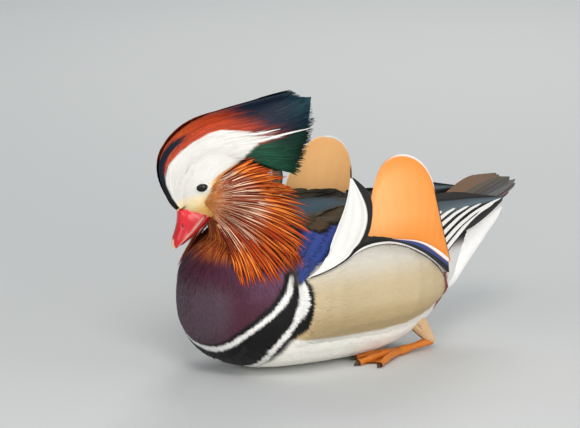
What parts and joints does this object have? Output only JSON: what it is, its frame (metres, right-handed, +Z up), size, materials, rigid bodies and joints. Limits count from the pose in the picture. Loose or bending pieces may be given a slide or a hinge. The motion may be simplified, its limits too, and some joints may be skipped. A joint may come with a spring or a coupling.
{
  "type": "mandarin duck",
  "caption": "Male mandarin duck resting on its belly, head turned down, crest, ruff, raised sail feathers and folded wings.",
  "frame": {"origin": "on the floor under the middle of the body, on the flat of the belly", "axes": "+Z up, the bird faces -X, its left side is -Y"},
  "size_m": [0.3422, 0.152, 0.2186],
  "materials": {
    "breast_feather": "soft maroon feathers with a faint purple gloss",
    "back_feather": "soft olive-brown feathers",
    "rump_feather": "soft dark brown feathers",
    "neck_feather": "soft rusty feathers",
    "face_feather": "short white feathers, buff towards the bill",
    "eye": "dark glossy eye",
    "bill": "smooth satin horn, red with a pale nail",
    "crest_feather": "silky copper, blue and green feathers",
    "ruff_feather": "narrow orange plumes with pale shafts",
    "flank_feather": "golden buff feathers with fine dark barring",
    "wing_feather": "blue and olive wing feathers with a sheen",
    "crescent_feather": "long white shoulder feathers with black edges",
    "sail_feather": "smooth orange sail feather with a dark rim",
    "flight_feather": "grey flight feathers with white edges",
    "tail_feather": "olive-brown tail feathers",
    "undertail_feather": "soft white feathers",
    "leg_feather": "short buff feathers",
    "foot_skin": "scaled orange skin with dark claws"
  },
  "bodies": {
    "root": {"breast": "breast_feather", "torso": "back_feather", "rump": "rump_feather", "neck": "neck_feather", "head": "face_feather", "bill_upper": "bill", "bill_lower": "bill", "crest": "crest_feather", "tail": "tail_feather", "undertail": "undertail_feather", "eye_left": "eye", "eye_right": "eye", "whiskers_left": "ruff_feather", "whiskers_right": "ruff_feather", "flank_left": "flank_feather", "flank_right": "flank_feather", "wing_left": "wing_feather", "wing_right": "wing_feather", "scapulars_left": "crescent_feather", "scapulars_right": "crescent_feather", "sail_left": "sail_feather", "sail_right": "sail_feather", "primaries_left": "flight_feather", "primaries_right": "flight_feather", "leg_left": "leg_feather", "leg_right": "leg_feather", "foot_left": "foot_skin", "foot_right": "foot_skin"}
  },
  "joints": []
}
